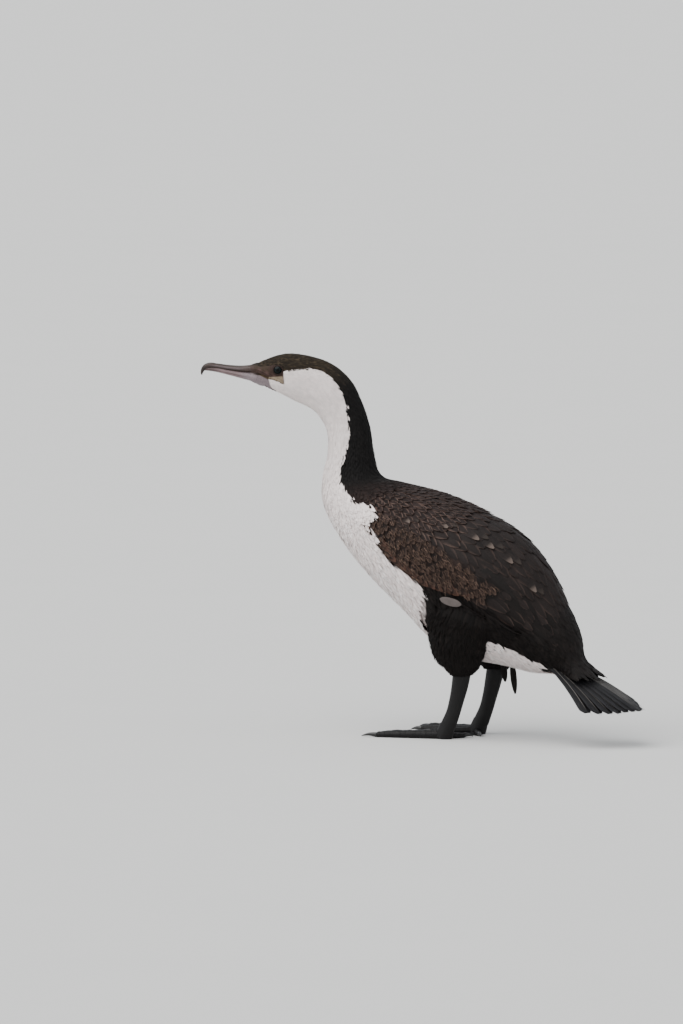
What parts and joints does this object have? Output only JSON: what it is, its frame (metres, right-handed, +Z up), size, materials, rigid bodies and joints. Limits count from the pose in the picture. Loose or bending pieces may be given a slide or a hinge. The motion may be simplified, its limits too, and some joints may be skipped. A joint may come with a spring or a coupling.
{
  "type": "cormorant",
  "caption": "Life-size still model of a young black and white cormorant standing on webbed feet, wings folded, long hooked bill turned a little to its left.",
  "frame": {"origin": "centre of the bounding box on the floor, under the standing bird", "axes": "+X towards the tail, +Y towards the bird's right side, +Z up"},
  "size_m": [0.4584, 0.1208, 0.3711],
  "materials": {
    "plumage_white": "soft white breast and neck feathers",
    "plumage_brown": "dark brown wing and back feathers with pale frayed tips",
    "plumage_black": "brown-black thigh and neck feathers",
    "tail_feathers": "blue-black stiff tail feathers with pale shafts",
    "bill_horn": "brown-grey horn, satin",
    "bill_lower": "pinkish grey horn and bare skin, satin",
    "eye": "wet, very dark blue-green eye",
    "leg_skin": "scaled dark grey-black skin",
    "claw": "black horn"
  },
  "bodies": {
    "root": {"head": "plumage_white", "neck_upper": "plumage_white", "neck_middle": "plumage_white", "neck_lower": "plumage_white", "trunk": "plumage_white", "wing_left": "plumage_brown", "wing_right": "plumage_brown", "tail": "tail_feathers", "thigh_left": "plumage_black", "thigh_right": "plumage_black", "shin_left": "leg_skin", "shin_right": "leg_skin", "foot_left": "leg_skin", "foot_right": "leg_skin", "bill_upper": "bill_horn", "bill_lower": "bill_lower", "eye_left": "eye", "eye_right": "eye", "claw_left_hind": "claw", "claw_left_inner": "claw", "claw_left_middle": "claw", "claw_left_outer": "claw", "claw_right_hind": "claw", "claw_right_inner": "claw", "claw_right_middle": "claw", "claw_right_outer": "claw"}
  },
  "joints": []
}
